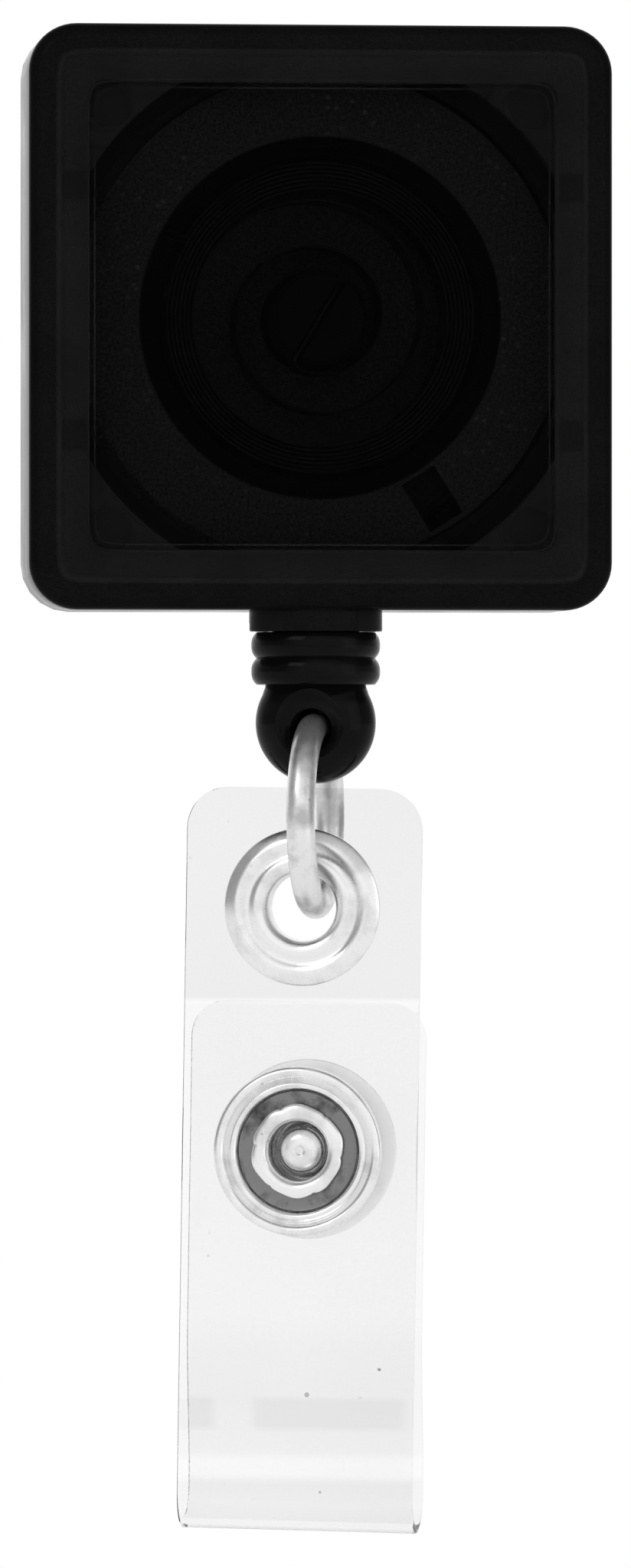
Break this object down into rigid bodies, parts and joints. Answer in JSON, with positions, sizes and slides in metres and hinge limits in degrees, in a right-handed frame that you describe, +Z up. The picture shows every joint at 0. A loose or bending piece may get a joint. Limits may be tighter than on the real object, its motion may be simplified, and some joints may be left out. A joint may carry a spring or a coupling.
{
  "type": "retractable badge reel",
  "caption": "Square badge reel with a spring-wound cord, a sprung slide clip on its back, and a snap strap that hangs from a wire link on the cord's end fitting.",
  "frame": {"origin": "on the belt seat, the flat rear face of the clip's fixed leg, on the object's middle plane and below the clip's rivet", "axes": "+X to the right seen from the front, +Y to the rear (towards the wearer's belt), +Z up; the cord pulls out along -Z"},
  "size_m": [0.0318, 0.0157, 0.0822],
  "materials": {
    "smoke_plastic": "near-black translucent moulding, glossy",
    "black_plastic": "black, glossy",
    "spool_plastic": "black, finely speckled",
    "spring_steel": "blued spring strip",
    "clip_steel": "bright nickel plate on spring steel",
    "bright_plate": "bright nickel plate",
    "braided_cord": "black braided nylon",
    "clear_vinyl": "clear flexible vinyl, glossy"
  },
  "bodies": {
    "casing": {"front_shell": "smoke_plastic", "rear_shell": "smoke_plastic", "clip_base": "clip_steel", "clip_rivet": "bright_plate", "cord_run": "braided_cord"},
    "clip_leg": {"clip_tongue": "clip_steel"},
    "spool": {"spool": "spool_plastic", "mainspring": "spring_steel", "cord_winding": "braided_cord"},
    "cord_end": {"cord_lead": "braided_cord", "cord_knot": "braided_cord"},
    "fitting": {"end_fitting": "black_plastic"},
    "link": {"wire_link": "bright_plate"},
    "strap": {"strap_front": "clear_vinyl", "grommet": "bright_plate", "grommet_washer": "bright_plate", "snap_ring": "bright_plate", "snap_socket": "bright_plate", "snap_spring": "bright_plate"},
    "flap": {"strap_flap": "clear_vinyl", "snap_stud": "bright_plate", "snap_cap": "bright_plate"}
  },
  "joints": [
    {"name": "clip_flex", "type": "hinge", "parent": "casing", "child": "clip_leg", "pos_m": [0, -0.0003, 0.0185], "axis": [1, 0, 0], "range_deg": [0, 12], "stiffness_Nm_per_rad": 0.4, "springref_deg": -1.15},
    {"name": "cord_pull", "type": "slide", "parent": "casing", "child": "cord_end", "axis": [0, 0, -1], "range_m": [0, 0.86], "stiffness_N_per_m": 0.58, "springref_m": -1.2, "deforming": ["cord_lead"]},
    {"name": "spool_spin", "type": "hinge", "parent": "casing", "child": "spool", "pos_m": [0, -0.0051, 0.0075], "axis": [0, 1, 0], "range_deg": [0, 4410], "deforming": ["mainspring"]},
    {"name": "fitting_swivel", "type": "hinge", "parent": "cord_end", "child": "fitting", "pos_m": [0, -0.0051, -0.00953], "axis": [0, 0, 1], "continuous": true},
    {"name": "link_swing", "type": "hinge", "parent": "fitting", "child": "link", "pos_m": [0, -0.0051, -0.01482], "axis": [0.2588, 0.9659, 0], "range_deg": [-45, 45]},
    {"name": "strap_swing", "type": "hinge", "parent": "link", "child": "strap", "pos_m": [0, -0.0051, -0.02439], "axis": [0.2588, 0.9659, 0], "range_deg": [-6, 6]},
    {"name": "strap_open", "type": "hinge", "parent": "strap", "child": "flap", "pos_m": [-0.00097, -0.00401, -0.05837], "axis": [-0.9658, 0.2588, 0.0157], "range_deg": [0, 120]}
  ],
  "couplings": [
    {"joint": "spool_spin", "follows": "cord_pull", "rad_per_m": 89.3}
  ]
}
